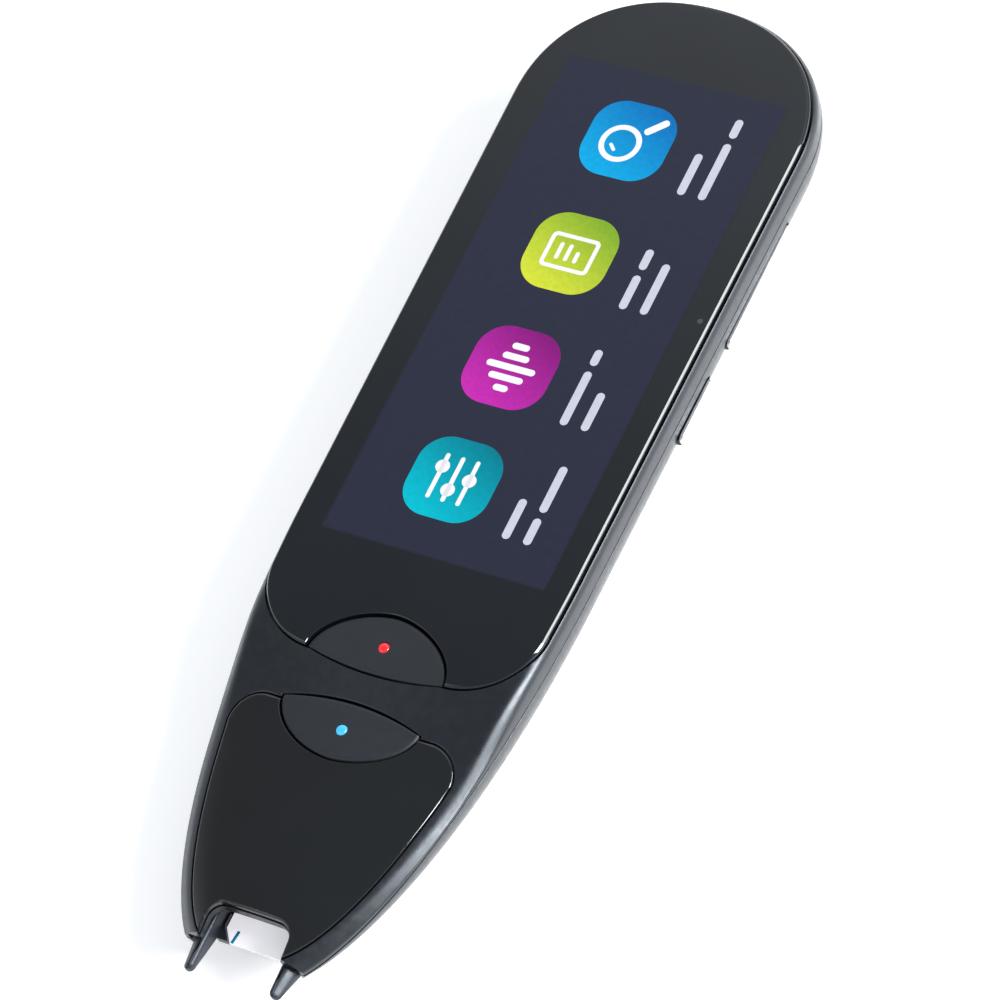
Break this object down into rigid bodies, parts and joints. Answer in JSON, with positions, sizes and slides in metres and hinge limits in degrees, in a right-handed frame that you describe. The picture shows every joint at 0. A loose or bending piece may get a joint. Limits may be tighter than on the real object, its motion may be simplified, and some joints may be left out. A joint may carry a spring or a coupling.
{
  "type": "scanning pen",
  "caption": "Flat hand-held scanning pen with a rounded touch screen, lens-shaped front keys, side keys and a forked scanning nose.",
  "frame": {"origin": "on the flat back, on the centre line, halfway along the casing outline", "axes": "+Y from the forked nose toward the rounded end, +Z out of the screen, +X toward the side keys"},
  "size_m": [0.0454, 0.1576, 0.0135],
  "materials": {
    "casing": "satin gunmetal paint",
    "screen_glass": "polished, printed black from behind",
    "display": "lit dark blue",
    "lower_panel": "piano black",
    "front_keys": "soft matte",
    "red_light": "lit",
    "blue_light": "lit",
    "side_keys": "polished, anodised",
    "scan_tip": "satin",
    "scan_window": "milky, light-spreading",
    "chassis": "die cast",
    "circuit_board": "solder mask",
    "battery_wrap": "foil pouch",
    "black_plastic": "moulded",
    "steel": "stamped",
    "black_steel": "blackened",
    "copper": "ribbon cable film",
    "lens": "coated"
  },
  "bodies": {
    "casing": {"front_frame": "casing", "rear_cover": "casing", "screen_glass": "screen_glass", "display_module": "display", "lower_panel": "lower_panel", "scan_window": "scan_window", "chassis": "chassis", "main_board": "circuit_board", "key_board": "circuit_board", "side_key_board": "circuit_board", "scan_board": "circuit_board", "scan_light_board": "circuit_board", "battery": "battery_wrap", "battery_connector": "black_plastic", "processor_shield": "steel", "speaker": "black_plastic", "microphone": "steel", "antenna": "copper", "usb_socket": "steel", "upper_switch": "steel", "lower_switch": "steel", "volume_up_switch": "steel", "volume_down_switch": "steel", "power_switch": "steel", "trigger_switch": "steel", "scan_camera": "black_plastic", "scan_lens": "lens", "key_flex": "copper", "scan_flex": "copper", "display_flex": "copper", "key_board_screw_1": "steel", "key_board_screw_2": "steel", "key_board_screw_3": "steel", "key_board_screw_4": "steel", "scan_board_screw_1": "steel", "scan_board_screw_2": "steel", "rear_screw_1": "black_steel", "rear_screw_2": "black_steel", "rear_screw_3": "black_steel", "rear_screw_4": "black_steel", "rear_screw_5": "black_steel", "rear_screw_6": "black_steel"},
    "upper_key": {"upper_button": "front_keys", "upper_light_pipe": "red_light"},
    "lower_key": {"lower_button": "front_keys", "lower_light_pipe": "blue_light"},
    "volume_key": {"volume_rocker": "side_keys"},
    "power_key": {"power_button": "side_keys"},
    "trigger": {"scan_tip": "scan_tip"}
  },
  "joints": [
    {"name": "upper_key_press", "type": "slide", "parent": "casing", "child": "upper_key", "axis": [0, 0, -1], "range_m": [0, 0.0004], "stiffness_N_per_m": 2000, "springref_m": -0.0003},
    {"name": "lower_key_press", "type": "slide", "parent": "casing", "child": "lower_key", "axis": [0, 0, -1], "range_m": [0, 0.0004], "stiffness_N_per_m": 2000, "springref_m": -0.0003},
    {"name": "volume_rock", "type": "hinge", "parent": "casing", "child": "volume_key", "pos_m": [0.0191, 0.04085, 0.006], "axis": [0, 0, 1], "range_deg": [-1.5, 1.5], "stiffness_Nm_per_rad": 0.05},
    {"name": "power_press", "type": "slide", "parent": "casing", "child": "power_key", "axis": [-1, 0, 0], "range_m": [0, 0.0004], "stiffness_N_per_m": 2000, "springref_m": -0.0003},
    {"name": "tip_press", "type": "slide", "parent": "casing", "child": "trigger", "axis": [0, 1, 0], "range_m": [0, 0.0008], "stiffness_N_per_m": 900, "springref_m": -0.0005}
  ]
}
